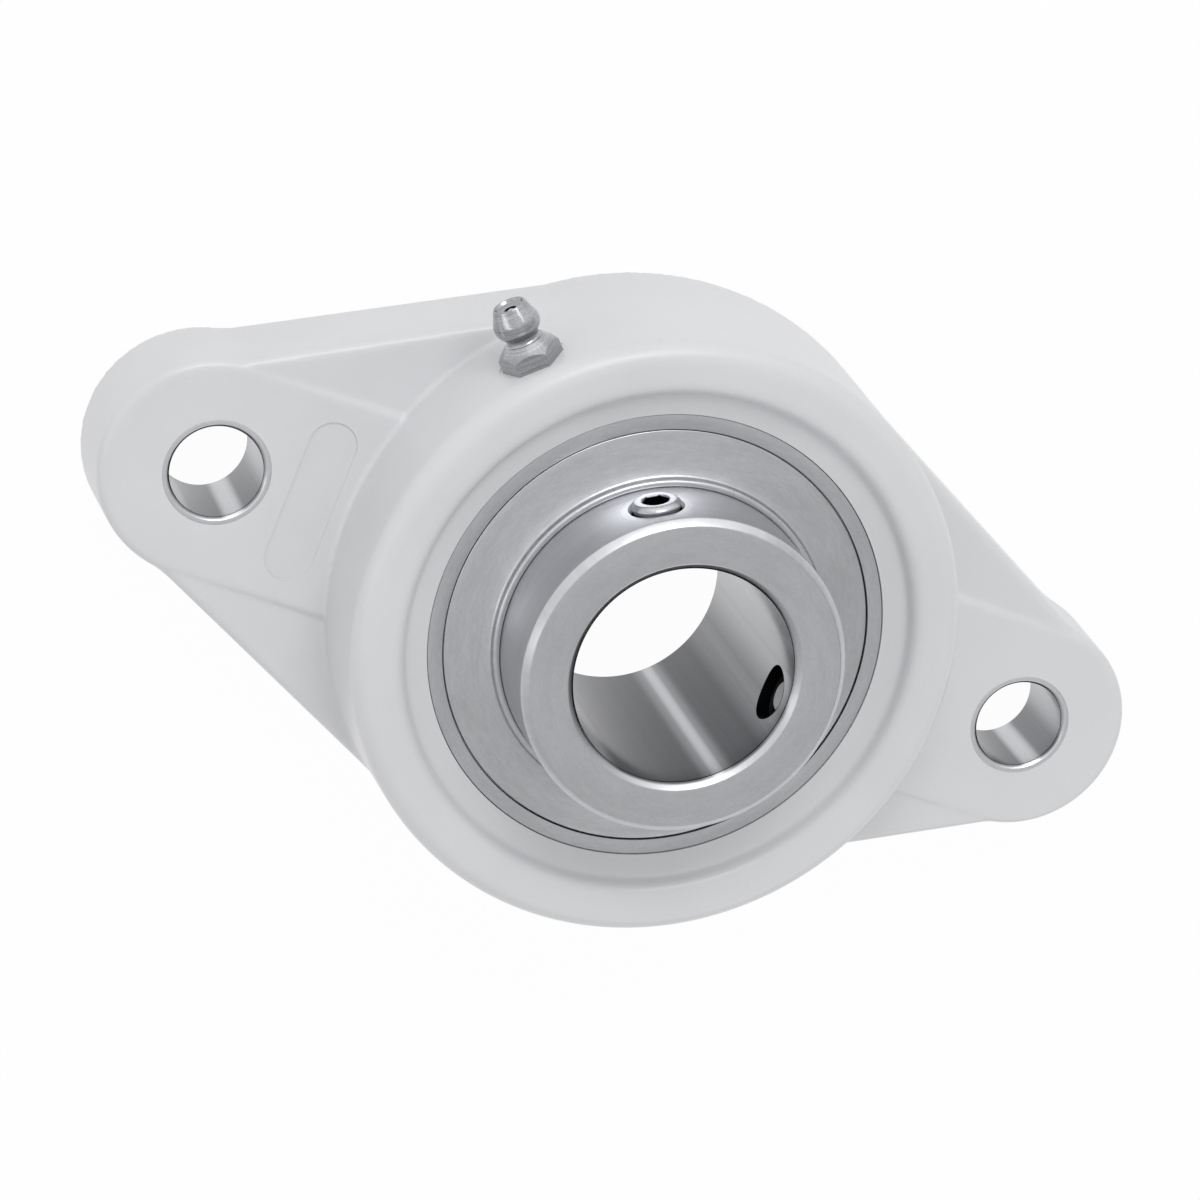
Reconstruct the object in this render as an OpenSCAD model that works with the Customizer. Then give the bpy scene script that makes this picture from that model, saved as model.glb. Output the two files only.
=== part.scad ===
// Two-bolt flange bearing: a moulded housing with steel bolt sleeves and a self-aligning
// ball bearing insert that is clamped to its shaft by two set screws.
// It lies on its mounting face. X runs along the bolts, Z along the shaft and out of the housing.
// The origin is the middle of the mounting face.

/* [Mounting] */
// Distance between the two bolt centres
bolt_spacing = 117; // [112:0.5:122]
// Bore of the steel bolt sleeves
bolt_bore = 12; // [10:0.1:13]
// Wall of the steel bolt sleeves
sleeve_wall = 0.95; // [0.7:0.05:1.3]
// Thickness of the flange at the bolts
flange_t = 13.3; // [12:0.1:15]

/* [Housing] */
// Wall of the boss outside the seat, at the mounting face
boss_wall = 10; // [8.6:0.1:12]
// Radius of the ear ends at the mounting face
ear_r = 15; // [14.6:0.1:16]
// Distance from a bolt centre out to the centre of its ear
ear_shift = 0.5; // [0:0.1:1.5]
// Moulding draft of the outer walls in degrees
draft = 1.9; // [1:0.1:3]
// Rounding of the upper edges of the flange
edge_r = 1.2; // [0.6:0.1:2]
// Rounding of the boss shoulder
shoulder_r = 2.6; // [1.5:0.1:3.5]
// Distance of a web's outer wall inside the boss's edge
web_inset = 0.4; // [0.2:0.1:1.4]
// Distance of a web's outer wall inside the ear's edge
ear_inset = 0.9; // [0.4:0.1:1.6]
// Fall of the web's top from the ear to the boss
web_drop = 1.7; // [0.5:0.1:3]
// Distance from the seat out to the flat front rim
rim_step = 3.6; // [2.6:0.1:4.4]
// Width of the bevel inside the rim
bevel_w = 1.6; // [0.8:0.1:2]
// Depth of the bevel inside the rim
bevel_h = 2; // [1:0.1:2.6]
// Fall of the dished face from the bevel to the seat's lip
dish_h = 1.1; // [0.5:0.1:1.5]
// Distance of the seat's lip inside the outer ring's widest radius
lip_inset = 0.7; // [0.5:0.05:0.9]

/* [Insert] */
// Shaft bore of the inner ring, for a shaft of one and an eighth inches
bore_d = 28.575; // [25:0.005:32]
// Wall of the inner ring, which comes to 42 mm outside
inner_wall = 6.7125; // [6:0.0125:8]
// Chamfer at the inner ring's ends
ring_chamfer = 0.87; // [0.4:0.01:1.1]
// Distance from the ball plane to the inner ring's back face
inner_back = 15.9; // [14.5:0.1:18]
// Height of the inner ring's back face above the mounting face
back_room = 2.1; // [0.5:0.1:4]
// Ball diameter
ball_d = 9.525; // [8.5:0.005:10.6]
// Number of balls
ball_count = 9; // [7:1:9]
// Wall of the outer ring outside the balls, which brings the ring to 62 mm
outer_wall = 3.2375; // [2.8:0.0125:3.8]
// Depth of the seals inside the outer ring's faces
seal_depth = 0.9; // [0.8:0.05:1.2]
// Thickness of the cage strip
cage_t = 0.6; // [0.4:0.05:0.7]
// Width of the cage strip
cage_w = 3; // [2.4:0.1:3.4]

/* [Set screws] */
// Diameter of the set screws
screw_d = 6.35; // [5:0.05:6.5]
// Height of a set screw's outer end above the inner ring
screw_proud = 0.8; // [0.4:0.05:1.2]
// Distance from the inner ring's front face to the set screws
screw_inset = 6.4; // [5.6:0.1:7.2]
// Width of the set screws' hexagon socket
socket_af = 3.175; // [2.5:0.005:3.4]
// Bearing of the first set screw round the shaft in degrees
screw_a_deg = 119; // [100:1:140]
// Angle between the two set screws in degrees
screw_step_deg = 120; // [90:1:130]

/* [Grease nipple] */
// Bearing of the nipple round the shaft in degrees
nipple_deg = 135; // [130:1:142]
// Diameter of the nipple's round head
nipple_head_d = 6; // [5.8:0.1:6.6]
// Width across the flats of the nipple's hexagon
nipple_af = 7; // [6.8:0.1:8]
// Height of the nipple's hexagon with its crown
hex_h = 3.2; // [2.8:0.1:3.6]
// Diameter of the nipple's threaded shank
shank_d = 6; // [5:0.1:6.2]

/* [Hidden] */
$fn = 96;

// Clearances
seat_gap = 0.02;
fit_gap = 0.02;
press_gap = 0.005;
race_gap = 0.012;
pin_gap = 0.04;
cut = 1;

// Rings and balls, with heights measured from the ball plane
bore_r = bore_d / 2;
inner_r = bore_r + inner_wall;
ball_r = ball_d / 2;
inner_race_depth = 0.29 * ball_d;
outer_race_depth = 0.185 * ball_d;
race_r = 0.52 * ball_d;
pitch_r = inner_r + ball_r - inner_race_depth;
inner_race_x = pitch_r - ball_r - race_gap + race_r;
outer_race_x = pitch_r + ball_r + race_gap - race_r;
outer_land_r = pitch_r + ball_r - outer_race_depth;
outer_r = pitch_r + ball_r + outer_wall;
oil_hole_d = 1.6;

// Cage
pocket_gap = 0.12;
pocket_r = ball_r + pocket_gap;
shell_r = pocket_r + cage_t;
rivet_r = 0.7;
rivet_head_r = 1.2;
rivet_top_r = 0.84;
rivet_head_h = 0.35;
rivet_grip = 0.1;

// Seals
seal_room = 0.1175;
seal_seat_w = 1;
seal_seat_r = outer_land_r + seal_seat_w;
seal_seat_h = shell_r + seal_room;
case_t = 0.4;
case_edge_t = 0.5;
case_seat_gap = 0.05;
case_edge_gap = 0.01;
case_z = seal_seat_h + case_t;
case_rim = 1.1;
case_top = case_z + case_rim;
case_bore_gap = 1.6;
case_in_r = inner_r + case_bore_gap;
lip_gap = 0.03;
lip_tip = 0.8;
lip_t = 0.4;
lip_slant = 0.2;
lip_fold = 1;

// Flingers
face_h = case_top + seal_depth;
flinger_seat_w = 1.05;
flinger_seat_rise = 0.1;
flinger_edge_gap = 0.15;
flinger_face_gap = 0.25;
flinger_seat_h = case_top + flinger_seat_rise;
flinger_seat_r = seal_seat_r + flinger_seat_w;
flinger_r = flinger_seat_r - flinger_edge_gap;
flinger_t = 0.5;
flinger_z = case_top + flinger_face_gap;
flinger_rise = 0.9;
flinger_flat = 0.7;
flinger_bend = 0.2;
collar_w = 0.9;
collar_rise = 0.5;
collar_h = 2.5;
collar_top = flinger_z + collar_h;

// Set screws, with radii measured from the shaft's axis
screw_r = screw_d / 2;
screw_gap = 0.02;
screw_room = 2.775;
screw_z = collar_top + screw_room + screw_r;
inner_front = screw_z + screw_inset;
screw_tip_inset = 1.1625;
screw_l = inner_wall + screw_proud - screw_tip_inset;
screw_edge = 0.5;
point_chamfer = 1.375;
point_r = screw_r - point_chamfer;
cup_w = 0.4;
socket_depth = 3;
sink_depth = 0.7;
sink_run = 1.3;
sink_growth = 1.25;

// Housing
insert_z = back_room + inner_back;
boss_r = outer_r + boss_wall;
ear_x = bolt_spacing / 2 + ear_shift;
web_offset = boss_r - web_inset;
ear_gap = ear_r - ear_inset;
web_angle = asin((web_offset - ear_gap) / ear_x);
web_skirt = 10;
web_sink = 0.05;
seat_r = outer_r + seat_gap;
lip_r = outer_r - lip_inset;
lip_sink = 0.1;
lip_z = insert_z + face_h - lip_sink;
rim_r = outer_r + rim_step;
housing_h = lip_z + dish_h + bevel_h;
mouth_inset = 0.5;
mouth_r = outer_r - mouth_inset;
mouth_room = 2;
mouth_h = insert_z - face_h - mouth_room;
mouth_chamfer = 1;
slot_gap = 0.2;
slot_w = 2 * (face_h + slot_gap);
groove_rise = 4.2;
groove_z = insert_z + groove_rise;
groove_w = 2.4;
groove_depth = 0.8;
groove_r = seat_r + groove_depth;
passage_d = 2.2;
passage_lap = 0.4;
sleeve_r = bolt_bore / 2 + sleeve_wall;
sleeve_chamfer = 0.4;

// Grease nipple, measured outwards along its own axis from its seat on the boss
nipple_sink = 0.25;
nipple_seat_r = boss_r - groove_z * tan(draft) - nipple_sink;
spot_gap = 1;
hex_deg = 20;
crown_r = 2.5;
neck_d = 4.2;
neck_l = 0.8;
neck_end = hex_h + neck_l;
head_rise = 1.6;
head_z = neck_end + head_rise;
head_round = 1.9;
head_flare = 0.3;
tip_l = 2.6;
tip_chamfer = 0.2;
mouth_d = 4;
nipple_l = head_z + tip_l;
shank_l = 5.2;
check_d = 2.2;
check_stop = 0.35;
check_rest = 0.25;
check_z = nipple_l - check_stop - check_d / 2;
check_seat_h = 1.5;
check_seat_r = 0.4;
channel_gap = 0.2;
channel_d = check_d + 2 * channel_gap;
channel_floor = 1.5;
inlet_r = 0.8;
funnel_h = 0.7;
funnel_r = 1.55;
funnel_throat = 0.5;
spring_gap = 0.15;
spring_d = channel_d - 2 * spring_gap;
spring_wire = 0.3;
spring_turns = 6;
spring_lap = 0.1;

// Pin that keeps the outer ring from turning in its seat
pin_d = 2.5;
pin_depth = 2;
pin_reach = 2.2;
pin_in_r = outer_r - pin_depth;
pin_out_r = outer_r + pin_reach;
pin_deg = 225;
pin_tilt = 11;
pin_end_gap = 0.4;
pin_side_gap = 0.3;
align_deg = 2;
pin_slot_l = pin_d + 2 * (pin_out_r * sin(align_deg) + pin_side_gap);

plastic = [0.84, 0.84, 0.85];
steel = [0.68, 0.68, 0.7];
dark_steel = [0.5, 0.5, 0.52];
rubber = [0.12, 0.12, 0.13];

// Points of a circular arc in a flat profile
function arc(cx, cy, r, a0, a1, n = 6) =
    [for (i = [0:n]) let (a = a0 + (a1 - a0) * i / n) [cx + r * cos(a), cy + r * sin(a)]];

// Drafted side wall with a rounded top edge: w is the half width at height 0
function drafted_side(w, h, r) = concat([[w, 0]],
    arc(w - (h - r) * tan(draft) - r / cos(draft), h - r, r, draft, 90));

function mirrored(points) = [for (i = [len(points) - 1:-1:0]) [-points[i][0], points[i][1]]];

module in_ball_plane() {
    translate([0, 0, insert_z]) children();
}

// Places a child on the nipple's axis, with its own Z pointing out of the boss
module at_nipple() {
    rotate([0, 0, nipple_deg])
        translate([nipple_seat_r, 0, groove_z])
            rotate([0, 90, 0]) children();
}

module at_pin() {
    in_ball_plane() rotate([0, pin_tilt, pin_deg]) children();
}

// Places a child on a set screw's axis, with its own Z pointing away from the shaft
module at_screw(deg) {
    translate([0, 0, insert_z + screw_z]) rotate([0, 90, deg]) children();
}

// Housing, as solid forms first

module boss_blank() {
    rotate_extrude()
        polygon(concat([[0, 0]], drafted_side(boss_r, housing_h, shoulder_r),
            [[rim_r, housing_h], [rim_r - bevel_w, housing_h - bevel_h], [lip_r, lip_z], [0, lip_z]]));
}

module ear_and_strip() {
    side = drafted_side(ear_r, flange_t, edge_r);
    translate([ear_x, 0, 0]) rotate([0, 0, -90])
        rotate_extrude(angle = 180) polygon(concat([[0, 0]], side, [[0, flange_t]]));
    rotate([90, 0, 90]) linear_extrude(ear_x) polygon(concat(side, mirrored(side)));
}

// One of the four webs between an ear and the boss, with a sloping top
module web() {
    normal = [sin(web_angle), cos(web_angle)];
    near_boss = web_offset * normal;
    near_ear = [ear_x, 0] + ear_gap * normal;
    length = norm(near_ear - near_boss);
    slope = atan(web_drop / length);
    low_h = flange_t - web_drop;
    side = drafted_side(web_skirt * tan(draft), low_h + web_skirt, edge_r);
    intersection() {
        linear_extrude(flange_t - web_sink)
            polygon([[0, 0], [ear_x, 0], near_ear + cut * normal, near_boss + cut * normal]);
        translate([near_boss[0], near_boss[1], 0])
            rotate([0, -slope, -web_angle])
                translate([-cut, 0, -web_skirt]) rotate([90, 0, 90])
                    linear_extrude(length + 2 * cut)
                        polygon(concat([[-boss_r, 0]], side, [[-boss_r, low_h + web_skirt]]));
    }
}

module housing_blank() {
    boss_blank();
    for (side = [0, 1]) mirror([side, 0, 0]) {
        ear_and_strip();
        web();
        mirror([0, 1, 0]) web();
    }
}

// Spherical seat, its open mouths and the two slots that the insert is loaded through
module seat_cut() {
    in_ball_plane() sphere(seat_r);
    translate([0, 0, insert_z]) cylinder(r = lip_r, h = housing_h);
    translate([0, 0, -cut]) cylinder(r = mouth_r, h = mouth_h + cut);
    translate([0, 0, -mouth_chamfer])
        cylinder(r1 = mouth_r + 2 * mouth_chamfer, r2 = mouth_r, h = 2 * mouth_chamfer);
    intersection() {
        translate([0, 0, -cut]) cylinder(r = seat_r, h = insert_z + cut);
        translate([-slot_w / 2, -boss_r, -cut]) cube([slot_w, 2 * boss_r, insert_z + cut]);
    }
    translate([0, 0, groove_z - groove_w / 2]) cylinder(r = groove_r, h = groove_w);
}

module nipple_cut() {
    at_nipple() {
        cylinder(r = nipple_af / 2 + spot_gap, h = nipple_l);
        translate([0, 0, -shank_l]) cylinder(d = shank_d + 2 * fit_gap, h = shank_l + cut);
    }
    at_nipple() translate([0, 0, seat_r - passage_lap - nipple_seat_r])
        cylinder(d = passage_d, h = nipple_seat_r - seat_r);
}

module pin_slot_cut() {
    depth = pin_out_r + pin_end_gap - pin_in_r;
    width = pin_d + 2 * pin_gap;
    at_pin() translate([pin_in_r, -width / 2, -pin_slot_l / 2]) cube([depth, width, pin_slot_l]);
}

module housing() {
    color(plastic) difference() {
        housing_blank();
        seat_cut();
        for (side = [-1, 1]) translate([side * bolt_spacing / 2, 0, -cut])
            cylinder(r = sleeve_r + fit_gap, h = flange_t + 2 * cut);
        nipple_cut();
        pin_slot_cut();
    }
}

module bolt_sleeve(side) {
    bolt_r = bolt_bore / 2;
    color(steel) translate([side * bolt_spacing / 2, 0, 0]) rotate_extrude()
        polygon([[bolt_r + sleeve_chamfer, 0], [sleeve_r, 0], [sleeve_r, flange_t],
            [bolt_r + sleeve_chamfer, flange_t], [bolt_r, flange_t - sleeve_chamfer],
            [bolt_r, sleeve_chamfer]]);
}

module bolt_sleeve_left() {
    bolt_sleeve(-1);
}

module bolt_sleeve_right() {
    bolt_sleeve(1);
}

// Grease nipple: hexagon, neck, round head with a seat for the check ball, and a plain shank

module nipple_body() {
    hex_r = nipple_af / 2 / cos(30);
    head_r = nipple_head_d / 2;
    tip_r = mouth_d / 2;
    intersection() {
        rotate([0, 0, hex_deg]) cylinder(r = hex_r, h = hex_h, $fn = 6);
        cylinder(r1 = crown_r + hex_h, r2 = crown_r, h = hex_h);
    }
    translate([0, 0, -shank_l]) cylinder(d = shank_d, h = shank_l + hex_h / 2);
    cylinder(d = neck_d, h = neck_end);
    rotate_extrude()
        polygon(concat([[0, neck_end - 2 * head_flare], [neck_d / 2, neck_end - head_flare]],
            arc(head_r - head_round, head_z, head_round, -50, 25),
            [[tip_r + tip_chamfer, nipple_l - tip_chamfer], [tip_r, nipple_l], [0, nipple_l]]));
}

module grease_nipple() {
    color(steel) at_nipple() difference() {
        nipple_body();
        translate([0, 0, channel_floor - shank_l])
            cylinder(d = channel_d, h = shank_l - channel_floor + check_z);
        translate([0, 0, -shank_l - cut]) cylinder(r = inlet_r, h = shank_l + cut);
        translate([0, 0, check_z]) cylinder(r1 = channel_d / 2, r2 = check_seat_r, h = check_seat_h);
        translate([0, 0, nipple_l - funnel_h])
            cylinder(r1 = funnel_throat, r2 = funnel_r, h = funnel_h + fit_gap);
    }
}

module nipple_check_ball() {
    color(steel) at_nipple() translate([0, 0, check_z - check_rest]) sphere(d = check_d);
}

// A compression spring between the shoulder in the shank and the check ball
module nipple_spring() {
    coil_r = (spring_d - spring_wire) / 2;
    bottom = channel_floor - shank_l + spring_wire;
    top = check_z - check_rest - check_d / 2 + spring_lap - spring_wire;
    sides = 8;
    color(dark_steel) at_nipple() translate([0, 0, bottom])
        linear_extrude(height = top - bottom, twist = -360 * spring_turns,
            slices = 12 * spring_turns, $fn = sides)
            translate([coil_r, 0]) circle(d = spring_wire, $fn = sides);
}

module anti_rotation_pin() {
    color(steel) at_pin() translate([pin_in_r + pin_gap, 0, 0])
        rotate([0, 90, 0]) cylinder(d = pin_d, h = pin_out_r - pin_in_r - pin_gap);
}

// Outer ring with its spherical outside, raceway, seal seats and grease hole
module outer_ring() {
    color(steel) difference() {
        in_ball_plane() rotate_extrude() difference() {
            intersection() {
                circle(outer_r, $fn = 180);
                translate([outer_land_r, -face_h]) square([outer_r, 2 * face_h]);
            }
            translate([outer_race_x, 0]) circle(race_r);
            for (side = [0, 1]) mirror([0, side]) {
                translate([0, seal_seat_h]) square([seal_seat_r, face_h]);
                translate([0, flinger_seat_h]) square([flinger_seat_r, face_h]);
            }
        }
        rotate([0, 0, nipple_deg]) translate([outer_land_r - cut, 0, groove_z])
            rotate([0, 90, 0]) cylinder(d = oil_hole_d, h = outer_r);
        at_pin() translate([pin_in_r, 0, 0]) rotate([0, 90, 0])
            cylinder(d = pin_d + 2 * pin_gap, h = outer_r);
    }
}

module facing(front) {
    in_ball_plane() mirror([0, 0, front ? 0 : 1]) children();
}

module seal_case(front) {
    out_r = seal_seat_r - case_edge_gap;
    wall_r = out_r - case_edge_t;
    foot = seal_seat_h + case_seat_gap;
    color(dark_steel) facing(front) rotate_extrude()
        polygon([[case_in_r, case_z], [wall_r, case_z], [wall_r, foot], [out_r, foot],
            [out_r, case_top], [wall_r, case_top], [wall_r, case_z + case_t],
            [case_in_r, case_z + case_t]]);
}

// Rubber lip that grips the case's inner edge and rides on the inner ring
module seal_lip(front) {
    tip_r = inner_r + lip_gap;
    grip_r = case_in_r - case_edge_gap;
    under = case_z + case_t + case_edge_gap;
    color(rubber) facing(front) rotate_extrude()
        polygon([[tip_r, under + lip_slant], [tip_r + lip_tip, case_z - case_seat_gap],
            [grip_r, case_z], [grip_r, under], [case_in_r + lip_fold, under],
            [case_in_r + lip_fold, under + lip_t], [tip_r, under + lip_t]]);
}

module front_seal_case() {
    seal_case(true);
}

module front_seal_lip() {
    seal_lip(true);
}

module back_seal_case() {
    seal_case(false);
}

module back_seal_lip() {
    seal_lip(false);
}

module screw_hole(deg) {
    at_screw(deg) {
        cylinder(r = screw_r + screw_gap, h = inner_r + cut);
        translate([0, 0, inner_r - sink_depth])
            cylinder(r1 = screw_r, r2 = screw_r + sink_growth, h = sink_run);
    }
}

// Inner ring, longer at the front where the set screws are
module inner_ring() {
    c = ring_chamfer;
    color(steel) difference() {
        in_ball_plane() rotate_extrude() difference() {
            polygon([[bore_r + c, -inner_back], [inner_r - c, -inner_back], [inner_r, c - inner_back],
                [inner_r, inner_front - c], [inner_r - c, inner_front], [bore_r + c, inner_front],
                [bore_r, inner_front - c], [bore_r, c - inner_back]]);
            translate([inner_race_x, 0]) circle(race_r);
        }
        screw_hole(screw_a_deg);
        screw_hole(screw_a_deg - screw_step_deg);
    }
}

// Dished disc with a beaded collar that is pressed on the inner ring
module flinger(front) {
    in_r = inner_r + press_gap;
    bead_r = collar_w / 2;
    slope_r = in_r + collar_w + flinger_flat;
    top = flinger_z + flinger_t;
    color(steel) facing(front) rotate_extrude()
        polygon(concat([[in_r, flinger_z + flinger_rise],
            [slope_r - flinger_bend, flinger_z + flinger_rise], [flinger_r, flinger_z],
            [flinger_r, top], [slope_r, top + flinger_rise],
            [in_r + collar_w, top + flinger_rise + collar_rise]],
            arc(in_r + bead_r, collar_top - bead_r, bead_r, 0, 180, 8)));
}

module front_flinger() {
    flinger(true);
}

module back_flinger() {
    flinger(false);
}

// Set screw with a cup point towards the shaft and a hexagon socket
module set_screw(deg) {
    color(dark_steel) at_screw(deg) translate([0, 0, bore_r + screw_tip_inset]) difference() {
        rotate_extrude() polygon([[0, cup_w], [point_r - cup_w, 0], [point_r, 0],
            [screw_r, point_chamfer], [screw_r, screw_l - screw_edge],
            [screw_r - screw_edge, screw_l], [0, screw_l]]);
        translate([0, 0, screw_l - socket_depth])
            cylinder(r = socket_af / 2 / cos(30), h = socket_depth + cut, $fn = 6);
    }
}

module set_screw_a() {
    set_screw(screw_a_deg);
}

module set_screw_b() {
    set_screw(screw_a_deg - screw_step_deg);
}

// Places copies round the ball circle, each turned by a share of the ball spacing
module round_pitch(share) {
    for (i = [0:ball_count - 1]) rotate([0, 0, (i + share) * 360 / ball_count])
        translate([pitch_r, 0, 0]) children();
}

module balls() {
    color(steel) in_ball_plane() round_pitch(0) sphere(ball_r);
}

// One half of the pressed cage: flat strips between the balls, domed pockets over them
module cage_half(front) {
    color(dark_steel) facing(front) difference() {
        intersection() {
            union() {
                round_pitch(0) sphere(shell_r);
                cylinder(r = pitch_r + cage_w, h = cage_t);
            }
            difference() {
                cylinder(r = pitch_r + cage_w / 2, h = shell_r + cut);
                translate([0, 0, -cut]) cylinder(r = pitch_r - cage_w / 2, h = shell_r + 3 * cut);
            }
        }
        round_pitch(0) sphere(pocket_r);
        round_pitch(0.5) translate([0, 0, -cut]) cylinder(r = rivet_r + fit_gap, h = 3 * cut);
    }
}

module cage_front_half() {
    cage_half(true);
}

module cage_back_half() {
    cage_half(false);
}

module cage_rivets() {
    color(steel) in_ball_plane() round_pitch(0.5) {
        cylinder(r = rivet_r, h = 2 * (cage_t + rivet_grip), center = true);
        for (side = [0, 1]) mirror([0, 0, side]) translate([0, 0, cage_t])
            cylinder(r1 = rivet_head_r, r2 = rivet_top_r, h = rivet_head_h);
    }
}

housing();
bolt_sleeve_left();
bolt_sleeve_right();
grease_nipple();
nipple_check_ball();
nipple_spring();
anti_rotation_pin();
outer_ring();
front_seal_case();
front_seal_lip();
back_seal_case();
back_seal_lip();
inner_ring();
front_flinger();
back_flinger();
set_screw_a();
set_screw_b();
balls();
cage_front_half();
cage_back_half();
cage_rivets();
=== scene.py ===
import logging
import math
from dataclasses import dataclass, field
from enum import Enum
from typing import Any, Callable, Iterable, Sequence

import bmesh
import bpy
from mathutils import Matrix, Vector


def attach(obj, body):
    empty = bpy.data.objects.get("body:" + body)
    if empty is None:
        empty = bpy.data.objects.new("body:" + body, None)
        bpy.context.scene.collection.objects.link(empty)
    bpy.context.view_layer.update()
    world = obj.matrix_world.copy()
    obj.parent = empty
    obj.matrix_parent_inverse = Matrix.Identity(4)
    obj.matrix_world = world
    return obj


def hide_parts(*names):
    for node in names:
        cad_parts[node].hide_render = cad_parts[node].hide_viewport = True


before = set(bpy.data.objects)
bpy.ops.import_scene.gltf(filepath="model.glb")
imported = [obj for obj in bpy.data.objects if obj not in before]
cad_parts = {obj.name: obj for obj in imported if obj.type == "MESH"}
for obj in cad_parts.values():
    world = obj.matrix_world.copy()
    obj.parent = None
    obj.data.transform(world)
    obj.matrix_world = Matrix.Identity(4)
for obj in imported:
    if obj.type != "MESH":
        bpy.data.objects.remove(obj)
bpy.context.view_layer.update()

logging.basicConfig(level=logging.INFO, format="%(message)s")
log = logging.getLogger("flange_bearing")

MM = 0.001
NEAR = 1e-7
SCREW_BEARINGS = {"a": 119.0, "b": -1.0}
SCREW_HEIGHT = 33.8
Point = tuple[float, float]
Triple = tuple[float, float, float]
Piece = bpy.types.Object
Material = bpy.types.Material


class Signal:
    """A number or colour that a shader node puts out, ready for arithmetic."""

    def __init__(self, sketch: "NodeSketch", socket: bpy.types.NodeSocket) -> None:
        """Keeps the socket and the node tree that it belongs to."""
        self.sketch = sketch
        self.socket = socket

    def _math(self, operation: str, first: Any, second: Any = None) -> "Signal":
        """Adds one Math node, with a second operand where its operation takes one."""
        inputs = {0: first} if second is None else {0: first, 1: second}
        return self.sketch.node("ShaderNodeMath", {"operation": operation}, inputs)

    def __add__(self, other: Any) -> "Signal":
        """Sum with a Signal or a number."""
        return self._math("ADD", self, other)

    __radd__ = __add__

    def __sub__(self, other: Any) -> "Signal":
        """Difference, self first."""
        return self._math("SUBTRACT", self, other)

    def __rsub__(self, other: Any) -> "Signal":
        """Difference, self second."""
        return self._math("SUBTRACT", other, self)

    def __mul__(self, other: Any) -> "Signal":
        """Product with a Signal or a number."""
        return self._math("MULTIPLY", self, other)

    __rmul__ = __mul__

    def __truediv__(self, other: Any) -> "Signal":
        """Quotient, self on top."""
        return self._math("DIVIDE", self, other)

    def root(self) -> "Signal":
        """Square root."""
        return self._math("SQRT", self)

    def over(self, low: float, high: float, to_low: float = 0.0,
             to_high: float = 1.0) -> "Signal":
        """Maps a span onto another with smooth, clamped ends.

        Args:
            low: Start of the span.
            high: End of the span.
            to_low: Result at the start.
            to_high: Result at the end.

        Returns:
            The mapped value.
        """
        settings = {"interpolation_type": "SMOOTHSTEP", "clamp": True}
        inputs = {0: self, 1: low, 2: high, 3: to_low, 4: to_high}
        return self.sketch.node("ShaderNodeMapRange", settings, inputs)


class NodeSketch:
    """One node tree, built up from expressions."""

    def __init__(self, owner: Material | bpy.types.World) -> None:
        """Starts on the node tree of a material or of the surround."""
        owner.use_nodes = True
        self.tree = owner.node_tree

    def node(self, kind: str, settings: dict[str, Any] | None = None,
             inputs: dict[Any, Any] | None = None, output: Any = 0) -> Signal:
        """Adds a node, sets it and links or fills its sockets.

        Args:
            kind: Blender's type name of the node.
            settings: The node's own settings, set before its sockets.
            inputs: Values or Signals by socket index or name.
            output: Index or name of the socket to hand back.

        Returns:
            The chosen output.
        """
        made = self.tree.nodes.new(kind)
        for key, value in (settings or {}).items():
            if key == "stops":
                self._set_stops(made, value)
            else:
                setattr(made, key, value)
        for key, value in (inputs or {}).items():
            if isinstance(value, Signal):
                self.tree.links.new(value.socket, made.inputs[key])
            else:
                made.inputs[key].default_value = value
        return Signal(self, made.outputs[output] if output is not None else None)

    @staticmethod
    def _set_stops(ramp: bpy.types.Node, stops: Sequence[tuple[float, Triple]]) -> None:
        """Writes a colour ramp's stops.

        Args:
            ramp: The ramp node.
            stops: Position and colour of each stop.
        """
        elements = ramp.color_ramp.elements
        while len(elements) < len(stops):
            elements.new(1.0)
        for element, (position, colour) in zip(elements, stops):
            element.position = position
            element.color = (*colour, 1.0)

    def axes(self, vector: Signal) -> tuple[Signal, Signal, Signal]:
        """Splits a vector into its three numbers."""
        parts = self.node("ShaderNodeSeparateXYZ", inputs={0: vector}).socket.node.outputs
        return Signal(self, parts[0]), Signal(self, parts[1]), Signal(self, parts[2])

    def noise(self, vector: Signal, scale: float, detail: float = 3.0,
              rough: float = 0.55) -> Signal:
        """Fractal noise from 0 to 1, its scale in cells per metre of the vector."""
        inputs = {"Vector": vector, "Scale": scale, "Detail": detail, "Roughness": rough}
        return self.node("ShaderNodeTexNoise", {"noise_dimensions": "3D"}, inputs)

    def end(self, output: str, shader: Signal) -> None:
        """Feeds a finished shader to the tree's output node."""
        self.node(output, inputs={"Surface": shader}, output=None)


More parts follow.
